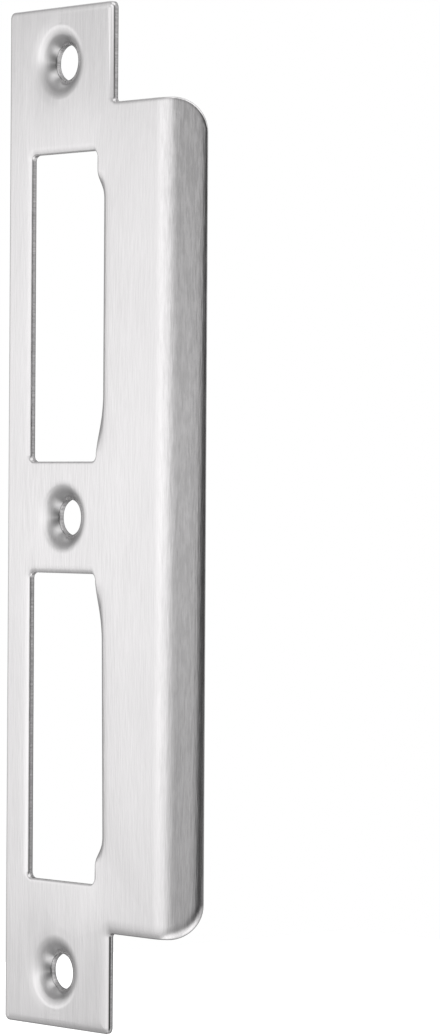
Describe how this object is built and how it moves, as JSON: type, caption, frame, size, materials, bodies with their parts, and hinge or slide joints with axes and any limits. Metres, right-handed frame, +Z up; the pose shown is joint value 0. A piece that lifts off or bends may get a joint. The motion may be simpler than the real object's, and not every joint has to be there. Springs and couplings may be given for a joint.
{
  "type": "door strike plate",
  "caption": "Folded door strike plate with an ear at each end, sunk fixing holes, bolt windows with rolled edges and a lip bent back along one side.",
  "frame": {"origin": "midway between the two end fixing holes, in the plane of the sheet's back face", "axes": "+Z up the plate, +X across it towards the lip, +Y back into the door frame"},
  "size_m": [0.0416, 0.0055, 0.16],
  "materials": {
    "brushed_stainless": "satin, brushed along the plate"
  },
  "bodies": {
    "root": {"strike_plate": "brushed_stainless"}
  },
  "joints": []
}
